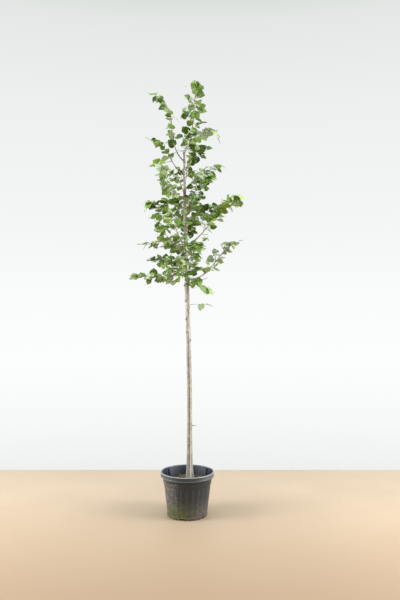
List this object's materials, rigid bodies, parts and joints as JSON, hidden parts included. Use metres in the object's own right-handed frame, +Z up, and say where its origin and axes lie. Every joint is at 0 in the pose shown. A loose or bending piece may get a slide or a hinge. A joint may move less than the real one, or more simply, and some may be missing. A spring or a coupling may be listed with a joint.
{
  "type": "potted linden tree",
  "caption": "Young small-leaved linden with one straight stem and a light feathered crown of heart-shaped leaves, standing in a round black nursery pot.",
  "frame": {"origin": "centre of the pot's flat underside", "axes": "+Z up along the stem, -Y towards the front, +X to the right seen from the front"},
  "size_m": [0.862, 0.7033, 3.25],
  "materials": {
    "pot_plastic": "satin",
    "compost": "matte",
    "bark": "matte",
    "leaf": "satin"
  },
  "bodies": {
    "root": {"bough_back_1": "bark", "bough_back_2": "bark", "bough_back_5": "bark", "bough_front_4": "bark", "bough_left_1": "bark", "bough_left_2": "bark", "bough_left_2_side": "bark", "bough_left_3": "bark", "bough_left_4": "bark", "bough_left_5": "bark", "bough_left_5_side": "bark", "bough_left_6": "bark", "bough_left_7": "bark", "bough_right_1": "bark", "bough_right_2": "bark", "bough_right_3": "bark", "bough_right_6": "bark", "bough_right_7": "bark", "bough_sprig": "bark", "leaves_back_1": "leaf", "leaves_back_2": "leaf", "leaves_back_3": "leaf", "leaves_back_4": "leaf", "leaves_back_5": "leaf", "leaves_back_6": "leaf", "leaves_front_1": "leaf", "leaves_front_2": "leaf", "leaves_front_3": "leaf", "leaves_front_4": "leaf", "leaves_leader_low": "leaf", "leaves_leader_mid": "leaf", "leaves_leader_top": "leaf", "leaves_left_1_low": "leaf", "leaves_left_1_tip": "leaf", "leaves_left_2_side": "leaf", "leaves_left_2_tip": "leaf", "leaves_left_3": "leaf", "leaves_left_4_inner": "leaf", "leaves_left_4_tip": "leaf", "leaves_left_5_side": "leaf", "leaves_left_5_tip": "leaf", "leaves_left_6": "leaf", "leaves_left_7_inner": "leaf", "leaves_left_7_tip": "leaf", "leaves_right_1": "leaf", "leaves_right_2": "leaf", "leaves_right_3": "leaf", "leaves_right_4": "leaf", "leaves_right_5": "leaf", "leaves_right_6_inner": "leaf", "leaves_right_6_tip": "leaf", "leaves_right_7_inner": "leaf", "leaves_right_7_tip": "leaf", "leaves_right_8": "leaf", "leaves_sprig": "leaf", "pot": "pot_plastic", "soil": "compost", "trunk": "bark"}
  },
  "joints": []
}
